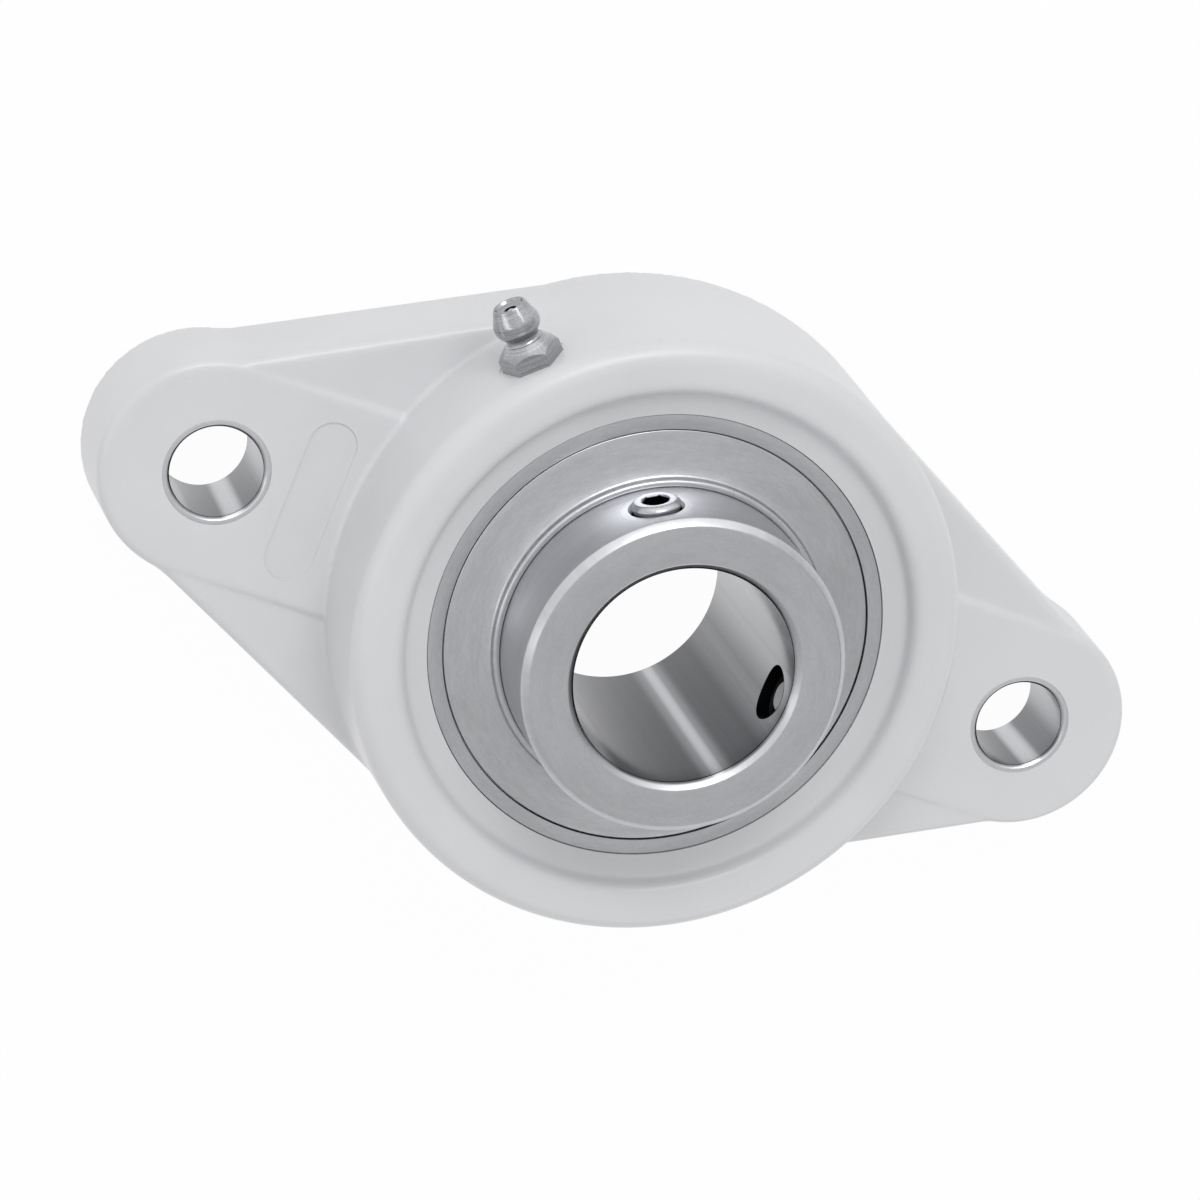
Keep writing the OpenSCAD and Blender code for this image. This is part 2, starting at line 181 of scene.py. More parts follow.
class Sketch(NodeSketch):
    """One procedural material round a Principled shader."""

    STEPS = 20

    def __init__(self, name: str, **constants: float) -> None:
        """Starts a material.

        Args:
            name: The material's name.
            constants: Values for the shader's own sockets.
        """
        self.material = bpy.data.materials.new(name)
        super().__init__(self.material)
        self.shader = self.tree.nodes["Principled BSDF"]
        for socket, value in constants.items():
            self.socket(socket).default_value = value

    def socket(self, name: str) -> bpy.types.NodeSocket:
        """Input of the shader, its name written in lower case with underscores."""
        return self.shader.inputs[name.replace("_", " ").title().replace("Ior", "IOR")]

    def place(self) -> Signal:
        """Position on the piece in metres, as the CAD frame gives it."""
        return self.node("ShaderNodeTexCoord", output="Object")

    def shade(self, level: Signal, cool: float) -> Signal:
        """Grey of a display level from 0 to 1, a little bluer than neutral."""
        stops = [(i / self.STEPS, grey(i / self.STEPS, cool)) for i in range(self.STEPS + 1)]
        return self.node("ShaderNodeValToRGB", {"stops": stops}, {0: level})

    def bump(self, height: Signal, distance: float, strength: float = 1.0) -> Signal:
        """Normal of a relief that runs from 0 to 1 and is some millimetres deep."""
        inputs = {"Height": height, "Distance": distance * MM, "Strength": strength}
        return self.node("ShaderNodeBump", None, inputs)

    def finish(self, **signals: Signal) -> Material:
        """Feeds the shader's varying sockets.

        Args:
            signals: Signals by the names of their sockets.

        Returns:
            The finished material.
        """
        for name, value in signals.items():
            self.tree.links.new(value.socket, self.socket(name))
        return self.material


def grey(level: float, cool: float) -> Triple:
    """A grey as a display shows it, turned into the linear values that shaders take.

    Args:
        level: Display level from 0 to 1.
        cool: Shift of blue up and, a third as much, of red down.

    Returns:
        Linear red, green and blue.
    """
    def linear(v: float) -> float:
        """Linear value of one display level."""
        return max(0.0, v) / 12.92 if v <= 0.04045 else ((v + 0.055) / 1.055) ** 2.4
    return linear(level - cool / 3), linear(level), linear(level + cool)


@dataclass(frozen=True)
class Spot:
    """The point being shaded, in metres, with its distance from the piece's own axis."""

    x: Signal
    y: Signal
    z: Signal
    radius: Signal

    def along(self, bearing: float) -> Signal:
        """Distance from the axis towards a bearing in degrees."""
        turn = math.radians(bearing)
        return self.x * math.cos(turn) + self.y * math.sin(turn)

    def gap(self, bearing: float, height: float) -> Signal:
        """Distance from a level line that leaves the axis at a height in millimetres."""
        turn = math.radians(bearing)
        across = self.y * math.cos(turn) - self.x * math.sin(turn)
        up = self.z - height * MM
        return (across * across + up * up).root()


@dataclass(frozen=True)
class MouldedPlastic:
    """Pale moulded plastic with the fine skin of the mould."""

    shade: float = 0.872
    cool: float = 0.008
    contrast: float = 0.035
    gloss: float = 0.31
    skin_scale: float = 2600.0
    flow_scale: float = 45.0
    speck_scale: float = 900.0
    wave_scale: float = 420.0
    relief: float = 0.0022

    def build(self) -> Material:
        """Makes the material."""
        s = Sketch("moulded_plastic", IOR=1.5, specular_ior_level=0.5)
        at = s.place()
        flow = s.noise(at, self.flow_scale, 3.0)
        skin = s.noise(at, self.skin_scale, 2.0, 0.6)
        specks = s.noise(at, self.speck_scale, 4.0, 0.7).over(0.70, 0.78)
        tone = flow.over(0.3, 0.7, 0.3, 0.75) + (skin - 0.5) * 0.35 - specks * 0.3
        colour = s.shade(tone * self.contrast + (self.shade - 0.02), self.cool)
        rough = skin.over(0.3, 0.7, self.gloss - 0.01, self.gloss + 0.01) \
            + flow.over(0.35, 0.65, -0.015, 0.015)
        relief = skin * 0.7 + s.noise(at, self.wave_scale, 2.0) * 0.3
        return s.finish(base_color=colour, roughness=rough,
                        normal=s.bump(relief, self.relief, 0.5))


@dataclass(frozen=True)
class ReflectionStreak:
    """One painted reflection: a light streak that runs along a bore."""

    bearing: float
    half_width: float
    gain: float


@dataclass(frozen=True)
class BoreLook:
    """Inside of a bore, darker than the faces round it, with painted reflection streaks and a
    fine grain along it.
    """

    radius: float
    low: float = 0.34
    high: float = 0.76
    gloss: float = 0.16
    base: float = 0.08
    grain_scale: float = 26.0
    grain_gain: float = 0.22
    # Painted reflection streaks along the bore
    reflection_streaks: tuple[ReflectionStreak, ...] = (
        ReflectionStreak(238.0, 22.0, 0.7), ReflectionStreak(311.0, 10.0, 0.5), ReflectionStreak(311.0, 4.0, 0.45),
        ReflectionStreak(346.0, 10.0, 0.25), ReflectionStreak(392.0, 48.0, 0.7))

    def level(self, s: Sketch, spot: Spot) -> Signal:
        """Painted reflections, light and dark round the bore.

        Args:
            s: The material being built.
            spot: The point being shaded.

        Returns:
            The display level.
        """
        # Painted reflections: a base level plus a lighter streak towards each bearing
        total: Any = self.base
        for streak in self.reflection_streaks:
            facing = spot.along(streak.bearing) / spot.radius
            edge = math.cos(math.radians(streak.half_width))
            total = facing.over(edge, 1.0, 0.0, streak.gain) + total
        around = s.node("ShaderNodeCombineXYZ",
                        inputs={0: spot.x / spot.radius, 1: spot.y / spot.radius, 2: 0.0})
        grain = s.noise(around, self.grain_scale, 4.0, 0.7) - 0.5
        return (total + grain * self.grain_gain) * (self.high - self.low) + self.low


@dataclass(frozen=True)
class TappedHole:
    """Tapped hole through the side of a ring, darkened with painted shade, with a painted
    highlight on its countersink outside.
    """

    bearing: float
    height: float
    thread_r: float = 3.22
    mouth_r: float = 3.62
    sink_r: float = 4.45
    wall: Point = (15.6, 20.1)
    wall_fade: float = 0.2
    edge_fade: float = 0.04
    painted_shade: float = 0.93
    painted_highlight: float = 0.04
    dullness: float = 0.4

    def masks(self, spot: Spot) -> tuple[Signal, Signal]:
        """Where painted shade darkens the hole and where a painted highlight lights its
        countersink.

        Args:
            spot: The point being shaded.

        Returns:
            The painted shade's share and the painted highlight's share.
        """
        gap, fade = spot.gap(self.bearing, self.height), self.edge_fade * MM
        ahead = spot.along(self.bearing).over(0.0, MM)
        (near, far), step = self.wall, self.wall_fade
        reach = spot.radius.over(near * MM, (near + step) * MM, self.mouth_r * MM,
                                 self.thread_r * MM)
        # Painted shade inside the hole
        dark = (reach - gap).over(0.0, fade) * ahead
        outside = spot.radius.over(far * MM, (far + step) * MM)
        # Painted highlight on the countersink
        sink = (self.sink_r * MM - gap).over(0.0, fade) * ahead * outside
        return dark * (1.0 - sink), sink


@dataclass(frozen=True)
class Stem:
    """Axis of a piece that points away from the shaft, with painted shade on its thread inside
    the hole and in its socket.
    """

    bearing: float
    height: float
    tip: float = 0.0
    head: float = 0.0
    socket_r: float = 1.9
    edge_fade: float = 0.02
    painted_shade: float = 0.88
    dullness: float = 0.3
    point_shine: float = 0.2
    point_dullness: float = 0.5
    point_plainness: float = 0.85

    def masks(self, spot: Spot) -> tuple[Signal, Signal]:
        """Where painted shade darkens the thread and the socket, and where the point is.

        Args:
            spot: The point being shaded.

        Returns:
            The painted shade's share and the share of the point.
        """
        along = spot.along(self.bearing)
        # Painted shade covers the thread inside the ring's hole and the hex socket, behind the
        # point
        behind = along.over((self.tip + 0.15) * MM, (self.tip + 0.22) * MM)
        thread = 1.0 - along.over((self.head - 1.7) * MM, (self.head - 1.5) * MM)
        inside = self.socket_r * MM - spot.gap(self.bearing, self.height)
        socket = inside.over(0.0, self.edge_fade * MM) \
            * (1.0 - along.over((self.head - 0.25) * MM, (self.head - 0.1) * MM))
        return behind * (thread + socket - thread * socket), 1.0 - behind


class Grain(Enum):
    """Which way the tool marks of a metal surface run."""

    RINGS = "rings"
    STEM = "stem"
    SPOTS = "spots"


@dataclass(frozen=True)
class WorkedMetal:
    """Bright metal with the marks of its last operation, and with painted reflections in its bore
    and painted shade in its holes and socket, where these are given.
    """

    name: str
    shade: float = 0.72
    spread: float = 0.04
    cool: float = 0.012
    gloss: float = 0.33
    gloss_spread: float = 0.035
    mark_scale: float = 9000.0
    mark_depth: float = 0.0012
    speck_scale: float = 4200.0
    cloud_scale: float = 70.0
    ring_stretch: float = 0.004
    stem_stretch: float = 0.03
    grain: Grain = Grain.RINGS
    centre: Point = (0.0, 0.0)
    bore: BoreLook | None = None
    holes: tuple[TappedHole, ...] = ()
    stem: Stem | None = None

    def marks(self, s: Sketch, at: Signal, spot: Spot) -> Signal:
        """Place on the piece, drawn out along its tool marks.

        Args:
            s: The material being built.
            at: Place on the piece.
            spot: The same point, round the piece's axis.

        Returns:
            The vector that the marks' noise is read at.
        """
        if self.grain is Grain.RINGS:
            run = [v / spot.radius * self.ring_stretch for v in (spot.x, spot.y)]
            run.append(spot.radius + spot.z)
        elif self.grain is Grain.STEM and self.stem:
            run = [spot.along(self.stem.bearing), spot.x * self.stem_stretch,
                   spot.z * self.stem_stretch]
        else:
            return at
        return s.node("ShaderNodeCombineXYZ", inputs=dict(enumerate(run)))

    def build(self) -> Material:
        """Makes the material."""
        s = Sketch(self.name, metallic=1.0)
        at = s.place()
        x, y, z = s.axes(at)
        x, y = x - self.centre[0] * MM, y - self.centre[1] * MM
        spot = Spot(x, y, z, (x * x + y * y).root())
        marks = self.marks(s, at, spot)
        fine = s.noise(marks, self.mark_scale, 3.0, 0.65)
        coarse = s.noise(marks, self.mark_scale / 6.0, 2.0, 0.5)
        speck = s.noise(at, self.speck_scale, 3.0, 0.6)
        cloud = s.noise(at, self.cloud_scale, 2.0, 0.5)
        level = (fine * 0.35 + coarse * 0.25 + speck * 0.25 + cloud * 0.15).over(
            0.3, 0.7, self.shade - self.spread, self.shade + self.spread)
        rough = (fine * 0.6 + cloud * 0.4).over(
            0.3, 0.7, self.gloss - self.gloss_spread, self.gloss + self.gloss_spread)
        varied: dict[str, Signal] = {}
        # Painted reflections in the bore: darker than the faces, with lighter streaks along it
        if self.bore:
            edge = self.bore.radius + 0.1
            face = spot.radius.over(edge * MM, (edge + 0.3) * MM)
            level = face * level + (1.0 - face) * self.bore.level(s, spot)
            rough = face * rough + (1.0 - face) * (self.bore.gloss + fine * 0.08)
        # Painted shade in each tapped hole and a painted highlight on its countersink
        for hole in self.holes:
            dark, sink = hole.masks(spot)
            level = level * (1.0 - dark * hole.painted_shade) + sink * hole.painted_highlight
            rough = rough + dark * hole.dullness
        # Painted shade on the screw's thread inside the hole and in its socket; its point is
        # lighter and plainer
        if self.stem and self.stem.tip:
            dark, point = self.stem.masks(spot)
            level = level * (1.0 - dark * self.stem.painted_shade) + point * self.stem.point_shine
            rough = rough + dark * self.stem.dullness + point * self.stem.point_dullness
            varied["metallic"] = 1.0 - point * self.stem.point_plainness
        relief = fine * 0.5 + coarse * 0.2 + speck * 0.3
        return s.finish(base_color=s.shade(level, self.cool), roughness=rough,
                        normal=s.bump(relief, self.mark_depth), **varied)


@dataclass(frozen=True)
class SealRubber:
    """Black nitrile rubber of the seal lips."""

    shade: float = 0.11
    bloom_scale: float = 300.0
    skin_scale: float = 5000.0

    def build(self) -> Material:
        """Makes the material."""
        s = Sketch("seal_rubber", IOR=1.5)
        at = s.place()
        bloom = s.noise(at, self.bloom_scale)
        skin = s.noise(at, self.skin_scale, 2.0)
        colour = s.shade(bloom.over(0.3, 0.75, self.shade, self.shade + 0.07), 0.0)
        return s.finish(base_color=colour, roughness=bloom.over(0.3, 0.7, 0.5, 0.72),
                        normal=s.bump(skin, 0.01, 0.5))


@dataclass
class Finishes:
    """All finishes of the bearing, by what they are on."""

    plastic: Material = field(default_factory=MouldedPlastic().build)
    rubber: Material = field(default_factory=SealRubber().build)
    metals: dict[str, Material] = field(default_factory=dict)

    def metal(self, name: str, **look: Any) -> Material:
        """A metal finish, made once for each name.

        Args:
            name: The finish's name.
            look: Fields of WorkedMetal that differ from its own.

        Returns:
            The material.
        """
        if name not in self.metals:
            self.metals[name] = WorkedMetal(name, **look).build()
        return self.metals[name]


def start_clean() -> None:
    """Leaves edit mode and deselects everything."""
    if bpy.context.object and bpy.context.object.mode != "OBJECT":
        bpy.ops.object.mode_set(mode="OBJECT")
    bpy.ops.object.select_all(action="DESELECT")


def only(piece: Piece) -> None:
    """Selects one object and makes it active."""
    start_clean()
    piece.select_set(True)
    bpy.context.view_layer.objects.active = piece


def into_edit(piece: Piece) -> None:
    """Opens a piece in edit mode, all of it selected."""
    only(piece)
    bpy.ops.object.mode_set(mode="EDIT")
    bpy.ops.mesh.select_mode(type="VERT")
    bpy.ops.mesh.select_all(action="SELECT")


def turn_outwards() -> None:
    """Turns every face of the piece in edit mode outwards and leaves edit mode."""
    bpy.ops.mesh.select_all(action="SELECT")
    bpy.ops.mesh.normals_make_consistent(inside=False)
    bpy.ops.object.mode_set(mode="OBJECT")


def pick(piece: Piece, choose: Callable[[bmesh.types.BMesh], Iterable[Any]]) -> int:
    """Selects only some elements of a piece in edit mode.

    Args:
        piece: The piece.
        choose: Gives the vertices, edges or faces of its edit mesh.

    Returns:
        How many were selected.
    """
    mesh = bmesh.from_edit_mesh(piece.data)
    bpy.ops.mesh.select_all(action="DESELECT")
    mesh.verts.ensure_lookup_table()
    items = list(choose(mesh))
    for item in items:
        item.select_set(True)
    mesh.select_flush(True)
    bmesh.update_edit_mesh(piece.data)
    return len(items)


def modify(piece: Piece, kind: str, **settings: Any) -> None:
    """Adds a modifier and applies it.

    Args:
        piece: The object to change.
        kind: Blender's modifier type.
        settings: The modifier's settings.
    """
    only(piece)
    made = piece.modifiers.new(kind.lower(), kind)
    for key, value in settings.items():
        setattr(made, key, value)
    bpy.ops.object.modifier_apply(modifier=made.name)


def cut_with(piece: Piece, tool: Piece, operation: str = "DIFFERENCE") -> None:
    """Cuts or joins a piece with a tool body, which is used up."""
    modify(piece, "BOOLEAN", operation=operation, object=tool, solver="EXACT")
    bpy.data.objects.remove(tool)


def joined(forms: Sequence[Piece]) -> Piece:
    """Joins several forms into one object, their meshes left as they are."""
    start_clean()
    for form in forms:
        form.select_set(True)
    bpy.context.view_layer.objects.active = forms[0]
    bpy.ops.object.join()
    return bpy.context.object


def settle(piece: Piece, place: Matrix) -> Piece:
    """Moves a piece by a matrix and applies it, so that its object stays at the origin."""
    only(piece)
    piece.matrix_world = place
    bpy.ops.object.transform_apply()
    return piece


def shifted(x: float = 0.0, z: float = 0.0) -> Matrix:
    """Place of a piece moved along X and Z by millimetres."""
    return Matrix.Translation(Vector((x, 0.0, z)) * MM)


def mirrored(piece: Piece, side: float, half: float) -> Piece:
    """Copies a piece with a mesh of its own, mirrored across planes through the shaft.

    Args:
        piece: The piece.
        side: -1 to mirror it to the other ear, or 1.
        half: -1 to mirror it across the bolt line, or 1.

    Returns:
        The copy.
    """
    copy = piece.copy()
    copy.data = piece.data.copy()
    bpy.context.scene.collection.objects.link(copy)
    only(copy)
    copy.scale = (side, half, 1.0)
    bpy.ops.object.transform_apply()
    if side * half < 0:
        into_edit(copy)
        turn_outwards()
    return copy


def complete(piece: Piece, name: str, material: Material, body: str,
             nodes: Sequence[str], smooth: float = 32.0) -> Piece:
    """Names, dresses and mounts a finished piece.

    Args:
        piece: The finished mesh object.
        name: Its name.
        material: Its main material.
        body: The CAD body that it rides on.
        nodes: The CAD nodes that it stands for.
        smooth: Edges flatter than this many degrees are shaded smooth.

    Returns:
        The piece.
    """
    only(piece)
    piece.name = name
    piece.data.name = name
    if not piece.data.materials:
        piece.data.materials.append(material)
    bpy.ops.object.shade_smooth_by_angle(angle=math.radians(smooth))
    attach(piece, body)
    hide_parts(*nodes)
    log.info("piece %s: %d faces on %s", name, len(piece.data.polygons), body)
    return piece


def traced(points: Iterable[Sequence[float]]) -> Piece:
    """Draws an open chain of edges, point by point.

    Args:
        points: The chain's points in millimetres, in order.

    Returns:
        The chain, still in edit mode.
    """
    start_clean()
    bpy.ops.mesh.primitive_plane_add(size=MM)
    piece = bpy.context.object
    into_edit(piece)
    bpy.ops.mesh.merge(type="CENTER")
    spots = [Vector(point) * MM for point in points]
    bpy.ops.transform.translate(value=spots[0])
    for before, after in zip(spots, spots[1:]):
        bpy.ops.mesh.extrude_region_move(TRANSFORM_OT_translate={"value": after - before})
    return piece


def turned(outline: Sequence[Triple], steps: int = 144, segments: int = 5) -> Piece:
    """Turns a closed section round the Z axis, as on a lathe.

    Args:
        outline: Radius, height and corner size in millimetres, in order round the section.
        steps: Steps of one turn.
        segments: Segments of each rounded corner.

    Returns:
        The turned body.
    """
    piece = traced((r, 0.0, z) for r, z, _ in outline)
    pick(piece, lambda mesh: (mesh.verts[0], mesh.verts[len(mesh.verts) - 1]))
    bpy.ops.mesh.edge_face_add()
    bpy.ops.mesh.select_all(action="SELECT")
    bpy.ops.mesh.edge_face_add()
    for size in sorted({size for _, _, size in outline if size > 0}):
        sharp = [Vector((r, 0.0, z)) * MM for r, z, own in outline if own == size]
        pick(piece, lambda mesh: [v for v in mesh.verts
                                  if any((v.co - at).length < NEAR for at in sharp)])
        bpy.ops.mesh.bevel(offset=size * MM, segments=segments, affect="VERTICES", profile=0.5)
    bpy.ops.mesh.select_all(action="SELECT")
    bpy.ops.mesh.delete(type="ONLY_FACE")
    if pick(piece, lambda mesh: [e for e in mesh.edges
                                 if all(abs(v.co.x) < NEAR for v in e.verts)]):
        bpy.ops.mesh.delete(type="EDGE_FACE")
    bpy.ops.mesh.select_all(action="SELECT")
    bpy.ops.mesh.spin(steps=steps, angle=math.tau, center=(0, 0, 0), axis=(0, 0, 1))
    bpy.ops.mesh.select_all(action="SELECT")
    bpy.ops.mesh.remove_doubles(threshold=0.002 * MM)
    turn_outwards()
    return piece


def rod(radius: float, low: float, high: float, sides: int = 64,
        top_radius: float | None = None) -> Piece:
    """A straight or tapered round body along the Z axis.

    Args:
        radius: Radius at the low end in millimetres.
        low: Height of the low end.
        high: Height of the high end.
        sides: Number of sides.
        top_radius: Radius at the high end, if it differs.

    Returns:
        The body.
    """
    start_clean()
    top = radius if top_radius is None else top_radius
    bpy.ops.mesh.primitive_cone_add(vertices=sides, radius1=radius * MM, radius2=top * MM,
                                    depth=(high - low) * MM,
                                    location=(0, 0, (low + high) / 2 * MM))
    bpy.ops.object.transform_apply()
    return bpy.context.object


def prism(points: Iterable[Sequence[float]], along: Sequence[float],
          top_scale: float = 1.0) -> Piece:
    """Extrudes a closed outline into a solid.

    Args:
        points: The outline's corners in millimetres.
        along: The extrusion in millimetres.
        top_scale: Size of the far end beside the near one.

    Returns:
        The solid, in object mode.
    """
    piece = traced(points)
    bpy.ops.mesh.select_all(action="SELECT")
    bpy.ops.mesh.edge_face_add()
    bpy.ops.mesh.extrude_region_move(TRANSFORM_OT_translate={"value": Vector(along) * MM})
    if top_scale != 1.0:
        bpy.ops.transform.resize(value=(top_scale, top_scale, top_scale))
    turn_outwards()
    return piece


def arc_points(centre: Point, radius: float, start: float, end: float, count: int) -> list[Point]:
    """Points of an arc of some steps, from one angle to another, both ends included."""
    angles = [math.radians(start + (end - start) * i / count) for i in range(count + 1)]
    return [(centre[0] + radius * math.cos(a), centre[1] + radius * math.sin(a)) for a in angles]


def plain(points: Iterable[Point]) -> list[Triple]:
    """Outline points whose corners stay sharp."""
    return [(r, z, 0.0) for r, z in points]


def radial_place(bearing: float, radius: float, height: float) -> Matrix:
    """Place of a piece whose own Z axis points away from the shaft.

    Args:
        bearing: Bearing round the shaft in degrees.
        radius: Distance of its origin from the shaft's axis in millimetres.
        height: Height of its axis in millimetres.

    Returns:
        The matrix in metres.
    """
    turn = Matrix.Rotation(math.radians(bearing), 4, "Z")
    lie_down = Matrix.Rotation(math.radians(90.0), 4, "Y")
    return shifted(z=height) @ turn @ shifted(x=radius) @ lie_down


@dataclass
class Insert:
    """Self-aligning ball bearing insert: rings, flingers, seals, balls and cage."""

    finishes: Finishes
    centre_z: float = 18.0
    bore_r: float = 14.2875
    inner_r: float = 21.0
    inner_back: float = 15.9
    inner_front: float = 22.2
    ring_chamfer: float = 0.87
    outer_r: float = 31.0
    half_w: float = 8.0
    land_r: float = 26.0
    seal_r: float = 27.0
    seal_h: float = 5.6
    seat_r: float = 28.05
    seat_h: float = 7.2
    race_r: float = 4.953
    inner_race: float = 23.179
    outer_race: float = 22.822
    hole_r: float = 3.195
    mouth_flare: float = 1.15
    sink_flare: float = 1.25
    # Section of a flinger: radius, height from the ball plane, corner size
    disc: tuple[Triple, ...] = (
        (21.005, 8.25, 0.0), (22.4, 8.25, 0.3), (27.9, 7.35, 0.1), (27.9, 7.85, 0.15),
        (25.0, 8.2, 2.0), (22.75, 8.66, 0.6), (21.98, 9.0, 0.3), (21.905, 9.85, 0.44),
        (21.005, 9.85, 0.25))

    def build(self) -> list[Piece]:
        """Builds every visible piece of the insert and dresses the inner ones."""
        self.dress_inside()
        return [self.outer_ring(), self.inner_ring(), self.flinger("front_flinger", 1.0),
                self.flinger("back_flinger", -1.0)]

    def outer_ring(self) -> Piece:
        """Ring with its spherical outside, ground faces and seats for the seals."""
        tilt = math.degrees(math.asin(self.half_w / self.outer_r))
        side = [(self.seat_r, self.half_w, 0.06), (self.seat_r, self.seat_h, 0.05),
                (self.seal_r, self.seat_h, 0.1), (self.seal_r, self.seal_h, 0.05),
                (self.land_r, self.seal_h, 0.1)]
        ball = arc_points((0.0, 0.0), self.outer_r, -tilt, tilt, 24)
        edge = self.outer_r * math.cos(math.radians(tilt))
        reach = math.degrees(math.acos((self.land_r - self.outer_race) / self.race_r))
        race = arc_points((self.outer_race, 0.0), self.race_r, reach, -reach, 16)
        outline = [(edge, -self.half_w, 0.04)] + plain(ball[1:-1]) \
            + [(edge, self.half_w, 0.04)] + side + plain(race) \
            + [(r, -h, c) for r, h, c in reversed(side)]
        piece = turned([(r, h + self.centre_z, c) for r, h, c in outline], 180, 3)
        steel = self.finishes.metal("ground_ring_face", shade=0.755, gloss=0.36,
                                    mark_scale=5200.0, mark_depth=0.0006)
        return complete(piece, "ground_outer_ring", steel, "outer_ring",
                        ["outer_ring"], 25.0)

    def inner_ring(self) -> Piece:
        """Ring that the shaft goes through, with two tapped holes for the set screws."""
        z, c = self.centre_z, self.ring_chamfer
        low, high = z - self.inner_back, z + self.inner_front
        reach = math.degrees(math.acos((self.inner_race - self.inner_r) / self.race_r))
        race = arc_points((self.inner_race, z), self.race_r, 180.0 + reach, 180.0 - reach, 14)
        outline = [(self.bore_r, low + c, 0.12), (self.bore_r + c, low, 0.12),
                   (self.inner_r - c, low, 0.12), (self.inner_r, low + c, 0.15)] + plain(race) \
            + [(self.inner_r, high - c, 0.15), (self.inner_r - c, high, 0.12),
               (self.bore_r + c, high, 0.12), (self.bore_r, high - c, 0.12)]
        piece = turned(outline, 192, 3)
        cut_with(piece, joined([self.screw_hole(turn) for turn in SCREW_BEARINGS.values()]))
        holes = tuple(TappedHole(turn, SCREW_HEIGHT) for turn in SCREW_BEARINGS.values())
        # Its bore carries painted reflection streaks and its tapped holes painted shade, with a
        # painted highlight on each countersink
        steel = self.finishes.metal("turned_inner_ring", shade=0.775, spread=0.032,
                                    mark_scale=5200.0, mark_depth=0.0006,
                                    bore=BoreLook(self.bore_r), holes=holes)
        return complete(piece, "turned_inner_ring", steel, "inner_ring",
                        ["inner_ring"], 25.0)

    def screw_hole(self, bearing: float) -> Piece:
        """Tool that bores and countersinks one screw hole from both sides."""
        r, near, far = self.hole_r, self.bore_r, self.inner_r
        outline = [(0.0, near - 2.0), (r + self.mouth_flare, near - 2.0), (r, near + 0.5),
                   (r, far - 0.7), (r + self.sink_flare, far + 0.6), (0.0, far + 0.6)]
        return settle(turned(plain(outline), 72), radial_place(bearing, 0.0, SCREW_HEIGHT))

    def flinger(self, node: str, side: float) -> Piece:
        """Pressed disc that turns with the inner ring and throws dirt off the seal.

        Args:
            node: The CAD node that it stands for.
            side: 1 at the front, -1 at the back.

        Returns:
            The disc.
        """
        piece = turned([(r, self.centre_z + side * h, c) for r, h, c in self.disc], 180, 6)
        steel = self.finishes.metal("brushed_flinger", shade=0.77, gloss=0.32,
                                    mark_scale=3600.0, mark_depth=0.00025)
        return complete(piece, f"pressed_{node}", steel, "inner_ring",
                        [node], 35.0)

    def dress_inside(self) -> None:
        """Gives the pieces behind the flingers their materials."""
        polished = self.finishes.metal("polished_ball", shade=0.80, spread=0.02, gloss=0.12,
                                       gloss_spread=0.03, mark_depth=0.0003, grain=Grain.SPOTS)
        pressed = self.finishes.metal("pressed_cage", shade=0.55, spread=0.06, gloss=0.42,
                                      mark_depth=0.003, grain=Grain.SPOTS)
        case = self.finishes.metal("pressed_seal_case", shade=0.50, spread=0.05, gloss=0.4)
        looks = ((polished, ("balls", "nipple_check_ball", "anti_rotation_pin", "cage_rivets")),
                 (pressed, ("cage_front_half", "cage_back_half", "nipple_spring")),
                 (case, ("front_seal_case", "back_seal_case")),
                 (self.finishes.rubber, ("front_seal_lip", "back_seal_lip")))
        for look, names in looks:
            for name in names:
                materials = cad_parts[name].data.materials
                materials.clear()
                materials.append(look)


@dataclass
class SetScrews:
    """Two set screws that clamp the inner ring to its shaft."""

    finishes: Finishes
    radius: float = 3.175
    length: float = 6.35
    tip_r: float = 1.8
    cup: float = 0.14
    start_r: float = 15.45
    socket_af: float = 3.175
    socket_depth: float = 3.0
    socket_chamfer: float = 0.15
    pitch: float = 0.9
    # One thread ridge: change of radius and height above its start
    ridge: tuple[Point, ...] = ((0.0, 0.12), (0.0, 0.3), (-0.38, 0.558))

    def build(self) -> list[Piece]:
        """Builds both screws."""
        return [self.screw(letter, bearing) for letter, bearing in SCREW_BEARINGS.items()]

    def screw(self, letter: str, bearing: float) -> Piece:
        """One threaded screw with a cup point and a hexagon socket.

        Args:
            letter: Its letter in the names of its node and body.
            bearing: Its bearing round the shaft in degrees.

        Returns:
            The screw.
        """
        r, top = self.radius, self.length
        start = r - self.tip_r
        outline = [(0.0, self.cup, 0.0), (self.tip_r - 0.4, 0.0, 0.05), (self.tip_r, 0.0, 0.05),
                   (r - 0.3, start - 0.25, 0.05)]
        while start + self.pitch < top - 0.6:
            outline += [(r + out, start + up, 0.03) for out, up in self.ridge]
            start += self.pitch
        outline += [(r, top - 0.72, 0.05), (r, top - 0.5, 0.1), (r - 0.5, top, 0.15),
                    (0.0, top, 0.0)]
        piece = turned(outline, 96, 2)
        corner = self.socket_af / 2 / math.cos(math.pi / 6)
        cut_with(piece, rod(corner, top - self.socket_depth, top + 1.0, 6))
        cut_with(piece, rod(corner - 0.2, top - 0.2, top + 0.1, 48,
                            corner + self.socket_chamfer))
        settle(piece, radial_place(bearing, self.start_r, SCREW_HEIGHT))
        # The stem paints shade on the thread inside the ring and in the hex socket
        stem = Stem(bearing, SCREW_HEIGHT, self.start_r, self.start_r + top)
        steel = self.finishes.metal(f"screw_steel_{letter}", shade=0.74, spread=0.05,
                                    gloss=0.22, grain=Grain.STEM, stem=stem)
        return complete(piece, f"socket_set_screw_{letter}", steel, f"screw_{letter}",
                        [f"set_screw_{letter}"], 30.0)


